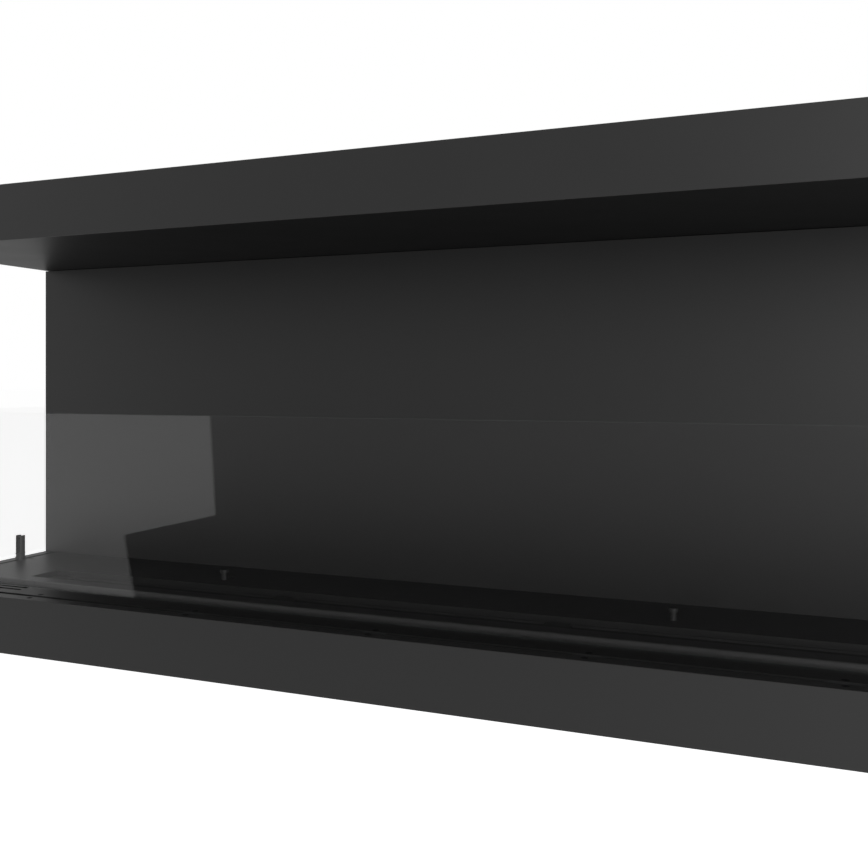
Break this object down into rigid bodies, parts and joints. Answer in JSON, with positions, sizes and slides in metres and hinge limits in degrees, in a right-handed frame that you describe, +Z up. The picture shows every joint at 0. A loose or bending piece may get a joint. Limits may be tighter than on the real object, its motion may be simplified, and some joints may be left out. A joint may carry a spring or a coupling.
{
  "type": "bioethanol fireplace",
  "caption": "Long built-in fireplace of black sheet steel, open at the front and ends, with low glass screens, a slot burner with a sliding shutter, a base box and a hood.",
  "frame": {"origin": "centre of the underside, on the surface that the base stands on", "axes": "+X along the width to the right, +Y from the open front to the back, +Z up"},
  "size_m": [1.2, 0.3, 0.5],
  "materials": {
    "powder_coat": "satin black fine-textured powder coat on folded sheet steel",
    "burner_black": "satin black heat-proof paint on steel",
    "black_screw": "black-oxide countersunk steel screws",
    "stainless": "brushed stainless sheet",
    "zinc_steel": "zinc-plated steel",
    "clear_glass": "clear toughened glass with ground edges",
    "mineral_board": null,
    "ceramic_fibre": "white ceramic fibre blanket",
    "silicone": "black silicone"
  },
  "bodies": {
    "casing": {"back_board": "mineral_board", "back_panel": "powder_coat", "base_pan": "powder_coat", "base_shell": "powder_coat", "blade_frame": "stainless", "burner_saddle_centre": "stainless", "burner_saddle_left": "stainless", "burner_saddle_right": "stainless", "burner_screws": "black_screw", "burner_top": "burner_black", "column_centre": "zinc_steel", "column_left": "zinc_steel", "column_right": "zinc_steel", "drip_tray": "stainless", "fibre_bed": "ceramic_fibre", "floor_plate": "powder_coat", "fuel_tank": "stainless", "glass_post_front_left": "powder_coat", "glass_post_front_right": "powder_coat", "glass_post_left_front": "powder_coat", "glass_post_left_rear": "powder_coat", "glass_post_right_front": "powder_coat", "glass_post_right_rear": "powder_coat", "grip_lug_left": "burner_black", "grip_lug_right": "burner_black", "hood_arm_centre": "zinc_steel", "hood_arm_left": "zinc_steel", "hood_arm_right": "zinc_steel", "hood_board": "mineral_board", "hood_lid": "powder_coat", "hood_lid_screws": "black_screw", "hood_shell": "powder_coat", "joining_straps": "zinc_steel", "post_grub_screws": "black_screw", "post_nuts": "zinc_steel", "post_pads": "silicone", "post_plates": "zinc_steel", "rear_cover": "powder_coat", "rear_cover_screws": "black_screw", "rim_screws": "black_screw", "tank_bridge_centre": "stainless", "tank_bridge_left": "stainless", "tank_bridge_right": "stainless"},
    "shutter": {"shutter_blade": "burner_black", "pull_knob_left": "burner_black", "pull_knob_right": "burner_black"},
    "front_pane": {"glass_front": "clear_glass"},
    "left_pane": {"glass_left": "clear_glass"},
    "right_pane": {"glass_right": "clear_glass"}
  },
  "joints": [
    {"name": "shutter_slide", "type": "slide", "parent": "casing", "child": "shutter", "axis": [0, 1, 0], "range_m": [0, 0.0168]},
    {"name": "front_pane_lift", "type": "slide", "parent": "casing", "child": "front_pane", "axis": [0, 0, 1], "range_m": [0, 0.03]},
    {"name": "left_pane_lift", "type": "slide", "parent": "casing", "child": "left_pane", "axis": [0, 0, 1], "range_m": [0, 0.03]},
    {"name": "right_pane_lift", "type": "slide", "parent": "casing", "child": "right_pane", "axis": [0, 0, 1], "range_m": [0, 0.03]}
  ]
}
